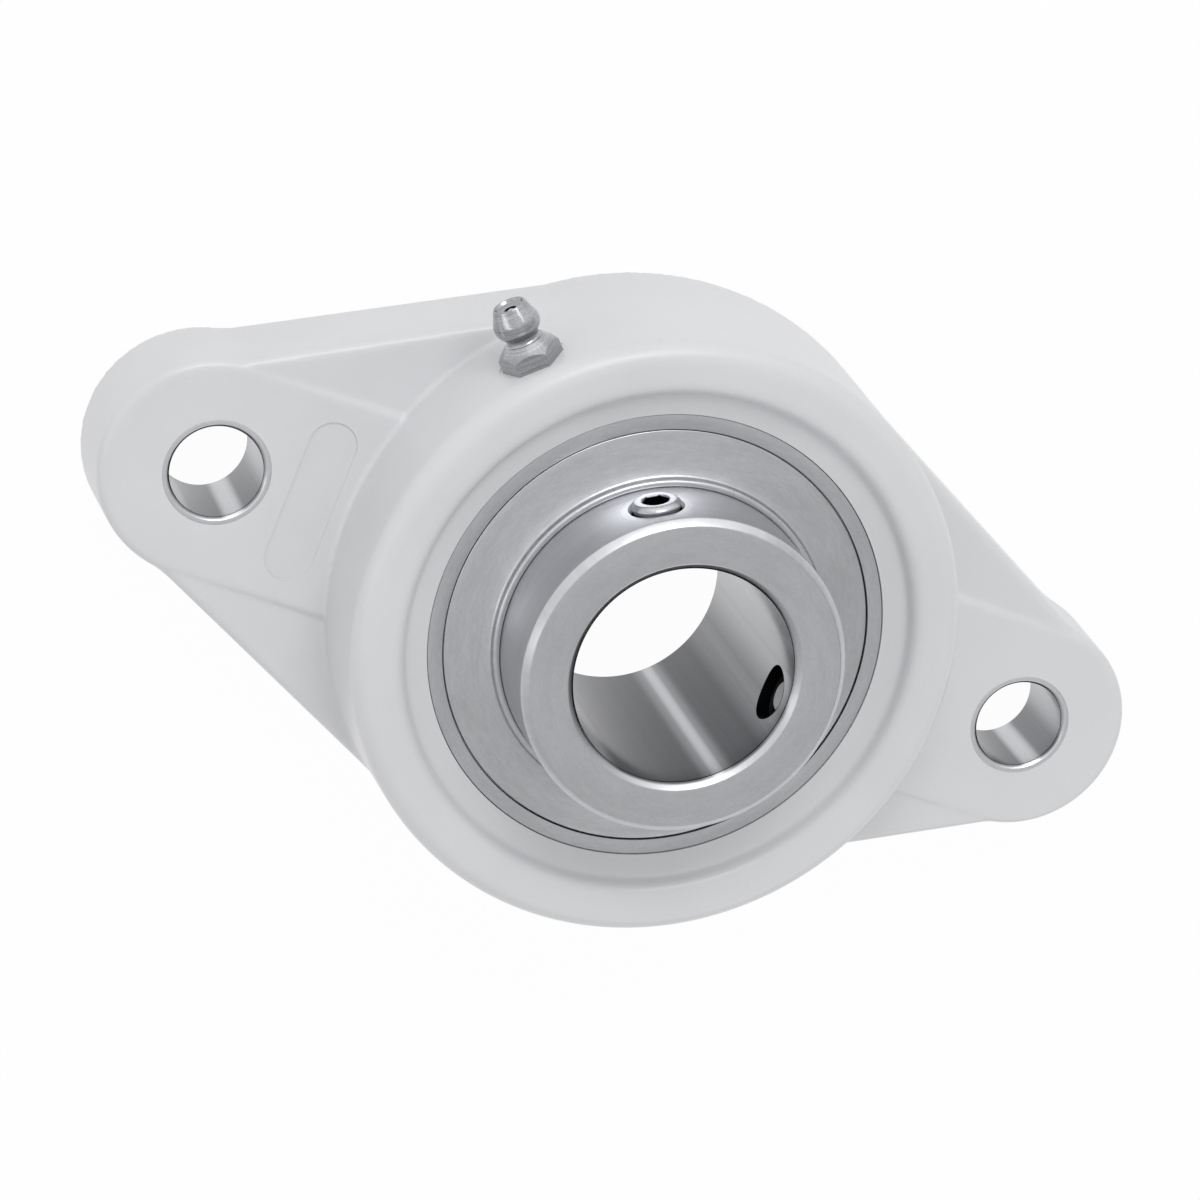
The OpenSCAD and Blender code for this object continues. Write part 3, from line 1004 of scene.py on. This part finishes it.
@dataclass
class GreaseFitting:
    """Grease nipple in the boss: hexagon, neck and round head."""

    finishes: Finishes
    bearing: float = 135.0
    height: float = 22.2
    seat_r: float = 40.0135
    hex_af: float = 7.0
    hex_h: float = 3.2
    hex_turn: float = -10.0
    crown_r: float = 2.5
    shank_r: float = 3.0
    shank_l: float = 5.2
    neck_r: float = 2.1
    head_r: float = 3.0
    head_round: float = 1.9
    head_z: float = 5.6
    length: float = 8.2
    bore_r: float = 1.3
    mouth_r: float = 0.4
    inlet_r: float = 0.8
    # Section of the cupped mouth: radius, height from the top, corner size
    cup: tuple[Triple, ...] = ((2.12, -0.06, 0.04), (2.06, 0.0, 0.04), (1.86, 0.0, 0.04),
                               (1.68, -0.4, 0.1), (0.9, -0.62, 0.0), (0.0, -0.62, 0.0))

    def build(self) -> list[Piece]:
        """Builds the nipple."""
        piece = rod(self.hex_af / 2 / math.cos(math.pi / 6), 0.0, self.hex_h, 6)
        settle(piece, Matrix.Rotation(math.radians(self.hex_turn), 4, "Z"))
        cut_with(piece, rod(self.crown_r + self.hex_h, 0.0, self.hex_h + 0.001, 128,
                            self.crown_r), "INTERSECT")
        neck, top, low = self.neck_r, self.length, -self.shank_l
        head = arc_points((self.head_r - self.head_round, self.head_z), self.head_round,
                          -50.0, 25.0, 14)
        outline = [(0.0, low, 0.0), (self.shank_r - 0.4, low, 0.1),
                   (self.shank_r, low + 0.5, 0.1), (self.shank_r, 1.0, 0.0),
                   (neck + 0.2, 1.0, 0.0), (neck + 0.2, self.hex_h, 0.0),
                   (neck, self.hex_h + 0.2, 0.2), (neck, self.hex_h + 0.55, 0.15)] \
            + plain(head) + [(r, top + h, c) for r, h, c in self.cup]
        cut_with(piece, turned(outline, 128, 4), "UNION")
        cut_with(piece, rod(self.bore_r, -3.7, top - 1.44, 48))
        cut_with(piece, rod(self.bore_r, top - 1.45, top + 0.05, 48, self.mouth_r))
        cut_with(piece, rod(self.inlet_r, -6.0, -3.0, 32))
        settle(piece, radial_place(self.bearing, self.seat_r, self.height))
        steel = self.finishes.metal("plated_nipple", shade=0.67, spread=0.11, gloss=0.2,
                                    mark_scale=4200.0, mark_depth=0.0025, grain=Grain.STEM,
                                    stem=Stem(self.bearing, self.height))
        return [complete(piece, "plated_grease_nipple", steel, "housing",
                         ["grease_nipple"], 28.0)]


@dataclass
class BoltSleeves:
    """Steel sleeves that keep the bolts from crushing the moulding."""

    finishes: Finishes
    spacing: float = 117.0
    bore_r: float = 6.0
    outer_r: float = 6.95
    height: float = 13.3
    chamfer: float = 0.4
    # Painted reflection streaks along each sleeve's bore
    reflection_streaks: tuple[ReflectionStreak, ...] = (ReflectionStreak(240.0, 20.0, 0.35), ReflectionStreak(312.0, 17.0, 0.8),
                                   ReflectionStreak(395.0, 45.0, 0.5))

    def build(self) -> list[Piece]:
        """Builds both sleeves."""
        return [self.sleeve("left", -1.0), self.sleeve("right", 1.0)]

    def sleeve(self, name: str, side: float) -> Piece:
        """One turned sleeve.

        Args:
            name: Its side in its node's name.
            side: -1 on the left, 1 on the right.

        Returns:
            The sleeve.
        """
        b, c, h = self.bore_r, self.chamfer, self.height
        x = side * self.spacing / 2
        piece = turned([(self.outer_r, 0.0, 0.04), (self.outer_r, h, 0.04), (b + c, h, 0.08),
                        (b, h - c, 0.1), (b, c, 0.1), (b + c, 0.0, 0.08)], 120, 3)
        settle(piece, shifted(x))
        steel = self.finishes.metal(f"drawn_sleeve_{name}", shade=0.85, spread=0.03,
                                    gloss=0.34, mark_scale=4200.0, mark_depth=0.0006,
                                    centre=(x, 0.0),
                                    bore=BoreLook(b, 0.50, 0.86, 0.2, reflection_streaks=self.reflection_streaks))
        return complete(piece, f"drawn_bolt_sleeve_{name}", steel, "housing",
                        [f"bolt_sleeve_{name}"], 28.0)


@dataclass
class MouldedHousing:
    """Moulded flange with its boss, ears, strips, sloping webs and spherical seat."""

    finishes: Finishes
    boss_r: float = 41.0
    height: float = 28.99
    shoulder: float = 2.6
    rim_r: float = 35.0
    bevel_w: float = 1.6
    bevel_h: float = 2.0
    lip_r: float = 30.06
    lip_z: float = 25.9
    lip_depth: float = 1.2
    draft: float = 1.9
    ear_x: float = 59.0
    ear_r: float = 15.0
    flange_t: float = 13.3
    edge_r: float = 1.2
    web_offset: float = 40.6
    web_angle: float = 26.69
    web_drop: float = 1.7
    seat_r: float = 31.02
    centre_z: float = 18.0
    mouth_r: float = 30.5
    mouth_h: float = 8.0
    slot_w: float = 16.4
    slot_reach: float = 36.0
    bolt_x: float = 58.5
    hole_r: float = 6.955
    strip_from: float = 34.0
    nipple_bearing: float = 135.0
    nipple_seat: float = 40.0135
    spot_r: float = 4.5
    shank_r: float = 3.02
    shank_l: float = 5.2
    groove_z: float = 22.2
    groove_w: float = 2.4
    groove_r: float = 31.82
    recess_x: float = -45.7
    recess_l: float = 11.0
    recess_r: float = 3.2
    recess_depth: float = 0.22
    voxel: float = 0.3
    most_triangles: int = 180000
    skirt: float = 10.0
    blend_r: float = 20.0
    blend_taper: float = 0.92
    # The rounded bevel inside the rim, in shares of its width and height
    bevel: tuple[Point, ...] = ((0.0, 0.0), (0.38, 0.05), (0.7, 0.18), (0.92, 0.37),
                                (1.06, 0.6), (1.2, 1.0))

    def build(self) -> list[Piece]:
        """Builds the housing."""
        arm, quarter = [self.ear(), self.strip()], [self.web(), self.blend()]
        copies = [mirrored(form, -1.0, 1.0) for form in arm]
        for side, half in ((1.0, -1.0), (-1.0, 1.0), (-1.0, -1.0)):
            copies += [mirrored(form, side, half) for form in quarter]
        piece = joined([self.boss(), *arm, *quarter, *copies])
        self.soften(piece)
        hole = self.bolt_hole()
        cut_with(piece, joined([hole, mirrored(hole, -1.0, 1.0), self.recess(),
                                self.seat_tool(), self.nipple_tool()]))
        return [complete(piece, "moulded_housing", self.finishes.plastic, "housing",
                         ["housing"], 40.0)]

    def drafted(self, width: float, height: float, edge: float) -> list[Point]:
        """Side wall with its draft and rounded top edge, from the bottom up.

        Args:
            width: Half width at the bottom in millimetres.
            height: Height of the top.
            edge: Radius of the top edge.

        Returns:
            The wall's points.
        """
        lean = math.radians(self.draft)
        centre = (width - (height - edge) * math.tan(lean) - edge / math.cos(lean),
                  height - edge)
        return [(width, 0.0)] + arc_points(centre, edge, self.draft, 90.0, 8)

    def seat_angle(self, height: float) -> float:
        """Angle in degrees at which the spherical seat passes a height."""
        return math.degrees(math.asin((height - self.centre_z) / self.seat_r))

    def boss(self) -> Piece:
        """Round boss with its rim, bevel, dished face, seat, groove and loading slots."""
        z, under = self.centre_z, self.lip_r - self.lip_depth
        top, bottom = self.groove_z + self.groove_w / 2, self.groove_z - self.groove_w / 2
        outline = self.drafted(self.boss_r, self.height, self.shoulder) \
            + [(self.rim_r - self.bevel_w * a, self.height - self.bevel_h * b)
               for a, b in self.bevel] \
            + [(under, self.lip_z - 0.1), (under, top), (self.groove_r, top),
               (self.groove_r, bottom)] \
            + arc_points((0.0, z), self.seat_r, self.seat_angle(bottom),
                         self.seat_angle(self.mouth_h), 16) \
            + [(self.mouth_r, self.mouth_h), (self.mouth_r, 1.0), (self.mouth_r + 1.0, 0.0)]
        piece = turned(plain(outline), 180)
        w, reach = self.slot_w / 2, self.slot_reach
        slot = prism([(-w, -reach, -1.0), (w, -reach, -1.0), (w, reach, -1.0),
                      (-w, reach, -1.0)], (0.0, 0.0, z + 1.0))
        cut_with(slot, rod(self.seat_r, -2.0, z + 1.0, 180), "INTERSECT")
        cut_with(piece, slot)
        return piece

    def seat_tool(self) -> Piece:
        """Tool that finishes the spherical seat and its lip."""
        high = math.degrees(math.acos(self.lip_r / self.seat_r))
        arc = arc_points((0.0, self.centre_z), self.seat_r,
                         self.seat_angle(self.mouth_h + 0.2), high, 30)
        top = self.height + 1.0
        return turned(plain([(0.0, arc[0][1])] + arc + [(self.lip_r, top), (0.0, top)]), 240)

    def nipple_tool(self) -> Piece:
        """Tool that spot-faces the boss and drills it for the nipple."""
        outline = [(0.0, -self.shank_l), (self.shank_r, -self.shank_l), (self.shank_r, 0.0),
                   (self.spot_r, 0.0), (self.spot_r, 7.0), (0.0, 7.0)]
        return settle(turned(plain(outline), 96),
                      radial_place(self.nipple_bearing, self.nipple_seat, self.groove_z))

    def bolt_hole(self) -> Piece:
        """Tool that bores the right ear for its sleeve."""
        return settle(rod(self.hole_r, -1.0, self.flange_t + 1.0, 128), shifted(self.bolt_x))

    def ear(self) -> Piece:
        """Round end of the right ear."""
        wall = self.drafted(self.ear_r, self.flange_t, self.edge_r)
        return settle(turned(plain([(0.0, 0.0)] + wall + [(0.0, self.flange_t)]), 128),
                      shifted(self.ear_x))

    def strip(self) -> Piece:
        """Level strip from the boss to the right ear."""
        wall = self.drafted(self.ear_r, self.flange_t, self.edge_r)
        section = wall + [(-r, z) for r, z in reversed(wall)]
        return prism([(self.strip_from, y, z) for y, z in section],
                     (self.ear_x - self.strip_from, 0.0, 0.0))

    def web_ways(self) -> tuple[Vector, Vector]:
        """Directions square to a web's flank and along it, towards the ear."""
        turn = math.radians(self.web_angle)
        return (Vector((math.sin(turn), math.cos(turn), 0.0)),
                Vector((math.cos(turn), -math.sin(turn), 0.0)))

    def web(self) -> Piece:
        """Web between the right ear and the boss, towards +Y, with its sloping top."""
        out, _ = self.web_ways()
        near_boss = out * self.web_offset
        near_ear = Vector((self.ear_x, 0.0, 0.0)) + out * (self.web_offset - self.ear_x * out.x)
        length = (near_ear - near_boss).length
        low = self.flange_t - self.web_drop
        wall = self.drafted(self.skirt * math.tan(math.radians(self.draft)),
                            low + self.skirt, self.edge_r)
        section = [(-self.boss_r, 0.0)] + wall + [(-self.boss_r, low + self.skirt)]
        lean = Matrix.Rotation(-math.radians(self.web_angle), 4, "Z") \
            @ Matrix.Rotation(-math.atan(self.web_drop / length), 4, "Y")
        place = Matrix.Translation(near_boss) @ lean \
            @ Matrix.Translation(Vector((-1.0, 0.0, -self.skirt)))
        piece = prism([place @ Vector((0.0, across, up)) for across, up in section],
                      lean @ Vector((length + 2.0, 0.0, 0.0)))
        plan = [(self.strip_from, 9.0, 0.0), (self.ear_x, 9.0, 0.0), near_ear + out,
                near_boss + out, out * 35.5, (26.5, 22.5, 0.0)]
        cut_with(piece, prism(plan, (0.0, 0.0, self.flange_t - 0.05)), "INTERSECT")
        return piece

    def blend(self) -> Piece:
        """Hollow fillet that leads the flank of the web into the round ear."""
        (out, run), ear = self.web_ways(), Vector((self.ear_x, 0.0, 0.0))
        reach = self.ear_r + self.blend_r
        rise = self.web_offset + self.blend_r - ear.dot(out)
        centre = ear + out * rise - run * math.sqrt(reach ** 2 - rise ** 2)
        start = math.degrees(math.atan2(-out.y, -out.x))
        end = math.degrees(math.atan2(ear.y - centre.y, ear.x - centre.x))
        plan = [Vector((x, y, 0.0))
                for x, y in arc_points((centre.x, centre.y), self.blend_r, start, end, 8)]
        plan += [ear + out * 6.0, plan[0] - out * 8.0]
        return prism(plan, (0.0, 0.0, self.flange_t - self.edge_r), self.blend_taper)

    def soften(self, piece: Piece) -> None:
        """Rounds every edge a little, as a mould does, and blends the webs into the walls."""
        modify(piece, "REMESH", mode="VOXEL", adaptivity=0.0,
               voxel_size=self.voxel * 1.0 * MM)
        modify(piece, "SMOOTH", factor=0.5, iterations=6)
        share = self.most_triangles / (2 * len(piece.data.polygons))
        modify(piece, "DECIMATE", ratio=min(1.0, share))

    def recess(self) -> Piece:
        """Bare shallow recess with round ends in the left strip."""
        r, straight = self.recess_r, self.recess_l - self.recess_r
        ends = arc_points((0.0, straight), r, 0.0, 180.0, 16) \
            + arc_points((0.0, -straight), r, 180.0, 360.0, 16)
        floor = self.flange_t - self.recess_depth
        return prism([(self.recess_x + x, y, floor) for x, y in ends], (0.0, 0.0, 2.0))


@dataclass(frozen=True)
class PhotoView:
    """The camera, where the photograph was taken from."""

    location: Triple = (-200.52, 137.42, 525.64)
    target: Triple = (0.71, -4.49, 0.0)
    upright: Triple = (-0.2806, 0.8942, -0.3488)
    lens: float = 130.6
    sensor: float = 36.0

    def build(self) -> None:
        """Makes the camera and hands the scene to it."""
        data = bpy.data.cameras.new("photo_view")
        data.lens, data.sensor_width = self.lens, self.sensor
        data.clip_start, data.clip_end = 0.02, 50.0
        camera = bpy.data.objects.new("photo_view", data)
        bpy.context.scene.collection.objects.link(camera)
        location = Vector(self.location) * MM
        back = (location - Vector(self.target) * MM).normalized()
        right = Vector(self.upright).cross(back).normalized()
        turn = Matrix((right, back.cross(right), back)).transposed().to_4x4()
        camera.matrix_world = Matrix.Translation(location) @ turn
        bpy.context.scene.camera = camera


@dataclass(frozen=True)
class Softbox:
    """A large soft lamp, in metres and watts."""

    name: str
    place: Triple
    size: Point
    power: float
    aim: Triple = (0.0, 0.0, 0.015)

    def build(self) -> None:
        """Makes the lamp and turns it to the object."""
        data = bpy.data.lights.new(self.name, "AREA")
        data.shape = "RECTANGLE"
        data.size, data.size_y = self.size
        data.energy = self.power
        lamp = bpy.data.objects.new(self.name, data)
        bpy.context.scene.collection.objects.link(lamp)
        lamp.location = self.place
        away = Vector(self.place) - Vector(self.aim)
        lamp.rotation_euler = away.to_track_quat("Z", "Y").to_euler()


@dataclass(frozen=True)
class SkyPanel:
    """A side of the surround that metal mirrors lighter or darker."""

    x: float
    y: float
    low: float
    high: float
    from_level: float
    to_level: float


@dataclass
class Studio:
    """Plain white sweep, soft lamps and an even surround."""

    floor_size: float = 8.0
    floor_grey: float = 0.85
    floor_white: float = 0.97
    floor_mirrored: float = 0.86
    surround: float = 0.82
    lamps: tuple[Softbox, ...] = (
        Softbox("key_softbox", (-0.35, 1.2, 1.1), (0.9, 0.6), 7.9),
        Softbox("side_strip", (-1.3, -0.5, 0.8), (0.25, 1.2), 1.1),
        Softbox("low_fill", (0.9, -0.9, 0.7), (0.8, 0.6), 1.2),
    )
    panels: tuple[SkyPanel, ...] = (
        SkyPanel(-0.45, 0.9, -0.75, 0.75, 0.72, 1.32),
        SkyPanel(0.6, 0.8, 0.1, 0.5, 0.0, -0.2),
        SkyPanel(-0.2, 0.95, 0.55, 0.9, 0.0, 0.6),
    )

    def build(self) -> None:
        """Builds the floor, the lamps and the surround."""
        bpy.context.scene.view_settings.view_transform = "Standard"
        for lamp in self.lamps:
            lamp.build()
        self.floor()
        self.sky()

    def floor(self) -> None:
        """White floor that the camera sees as white and that keeps a soft shadow."""
        start_clean()
        bpy.ops.mesh.primitive_plane_add(size=self.floor_size, location=(0.0, 0.0, -0.0001))
        floor = bpy.context.object
        floor.name = "studio_floor"
        material = bpy.data.materials.new("studio_floor")
        s = NodeSketch(material)
        s.tree.nodes.clear()
        seen = s.node("ShaderNodeLightPath", output="Is Camera Ray")
        mirrored = Signal(s, seen.socket.node.outputs["Is Glossy Ray"])
        matt = s.node("ShaderNodeBsdfDiffuse", inputs={"Color": (*[self.floor_grey] * 3, 1.0)})
        glow = s.node("ShaderNodeEmission", inputs={"Strength": 1.0})
        share = seen * self.floor_white + mirrored * self.floor_mirrored
        s.end("ShaderNodeOutputMaterial",
              s.node("ShaderNodeMixShader", inputs={0: share, 1: matt, 2: glow}))
        floor.data.materials.append(material)

    def sky(self) -> None:
        """Even grey surround, with lighter and darker sides for the metal to mirror."""
        world = bpy.data.worlds.new("studio_surround")
        bpy.context.scene.world = world
        s = NodeSketch(world)
        s.tree.nodes.clear()
        mirrored = s.node("ShaderNodeLightPath", output="Is Glossy Ray")
        x, y, _ = s.axes(s.node("ShaderNodeTexCoord", output="Generated"))
        level: Any = 0.0
        for p in self.panels:
            level = (y * p.y + x * p.x).over(p.low, p.high, p.from_level, p.to_level) + level
        strength = mirrored * level + (1.0 - mirrored) * self.surround
        s.end("ShaderNodeOutputWorld",
              s.node("ShaderNodeBackground", inputs={"Strength": strength}))


def main() -> None:
    """Builds the bearing, its camera and its light."""
    PhotoView().build()
    Studio().build()
    finishes = Finishes()
    for assembly in (MouldedHousing(finishes), BoltSleeves(finishes), GreaseFitting(finishes),
                     Insert(finishes), SetScrews(finishes)):
        log.info("%s: %d pieces", type(assembly).__name__, len(assembly.build()))
    start_clean()


if __name__ == "__main__":
    main()
